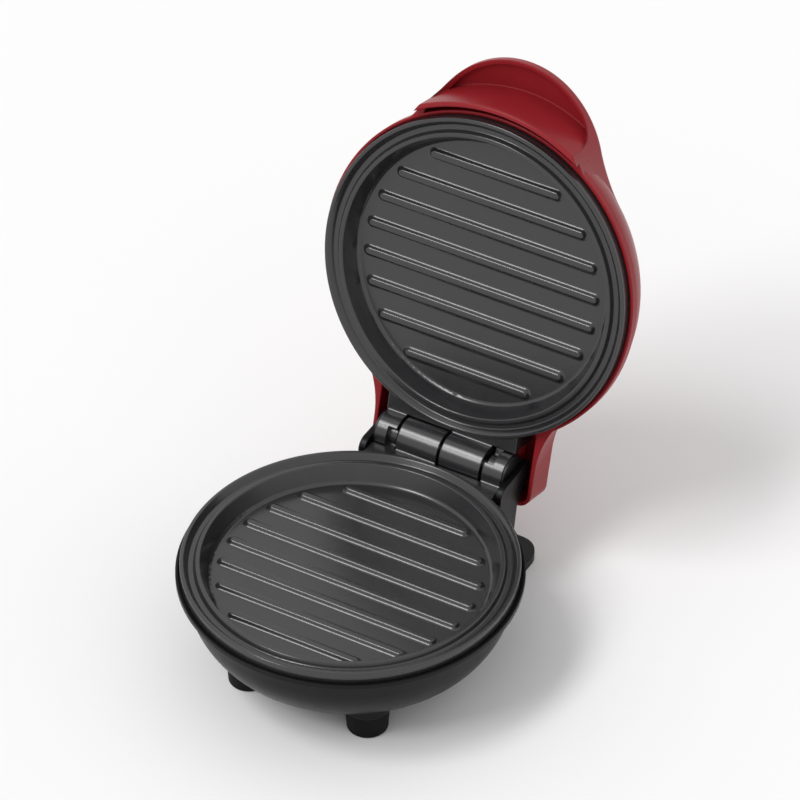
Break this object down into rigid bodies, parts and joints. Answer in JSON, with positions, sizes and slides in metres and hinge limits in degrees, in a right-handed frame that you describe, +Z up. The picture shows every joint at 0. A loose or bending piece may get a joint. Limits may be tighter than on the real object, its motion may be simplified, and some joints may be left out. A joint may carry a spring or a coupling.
{
  "type": "stuffed waffle maker",
  "caption": "Small round countertop cooker with ribbed cooking plates and a rear-hinged lid with a hooded finger grip, for stuffed waffles.",
  "frame": {"origin": "on the floor, on the underside of the heel, straight below the middle of the hinge", "axes": "+X along the hinge to the right as seen from the front, +Y to the back, +Z up; the lid stands open"},
  "size_m": [0.127, 0.194, 0.187],
  "materials": {
    "base_plastic": "black, satin moulded",
    "cooking_plate": "cast, dark grey non-stick coating, half gloss",
    "foot_rubber": "black, matt",
    "screw_steel": "zinc plated",
    "element_sheath": "dull heat-tinted sheath",
    "terminal_steel": "nickel plated",
    "shield_steel": "aluminised sheet, dull",
    "thermostat_body": "dark phenolic with a metal cap",
    "fuse_case": "plain",
    "fibre_sleeve": "woven glass fibre",
    "block_plastic": "ivory, matt",
    "gland_rubber": "black, matt",
    "pin_steel": "ground, bright",
    "plug_plastic": "black, smooth",
    "lid_plastic": "deep red, high gloss",
    "lens_plastic": "clear red",
    "holder_plastic": "ivory, matt",
    "lamp_glass": "clear glass"
  },
  "bodies": {
    "base": {"base_shell": "base_plastic", "lower_plate": "cooking_plate", "foot_front_left": "foot_rubber", "foot_front_right": "foot_rubber", "foot_rear_left": "foot_rubber", "foot_rear_right": "foot_rubber", "base_screws": "screw_steel", "lower_element": "element_sheath", "lower_element_terminals": "terminal_steel", "lower_heat_shield": "shield_steel", "thermostat": "thermostat_body", "thermostat_screws": "screw_steel", "thermal_fuse": "fuse_case", "fuse_sleeve": "fibre_sleeve", "fuse_clip": "shield_steel", "terminal_block": "block_plastic", "terminal_block_screw": "screw_steel", "terminal_clamp_screws": "screw_steel", "cord_gland": "gland_rubber", "hinge_pin": "pin_steel", "hinge_plug_left": "plug_plastic", "hinge_plug_right": "plug_plastic"},
    "lid": {"lid_shell": "lid_plastic", "upper_plate": "cooking_plate", "upper_element": "element_sheath", "upper_element_terminals": "terminal_steel", "upper_heat_shield": "shield_steel", "upper_shield_screws": "screw_steel", "lid_screws": "screw_steel", "indicator_lens": "lens_plastic", "lamp_holder": "holder_plastic", "indicator_lamp": "lamp_glass"}
  },
  "joints": [
    {"name": "lid_hinge", "type": "hinge", "parent": "base", "child": "lid", "pos_m": [0, 0, 0.0452], "axis": [1, 0, 0], "range_deg": [0, 104.3]}
  ]
}
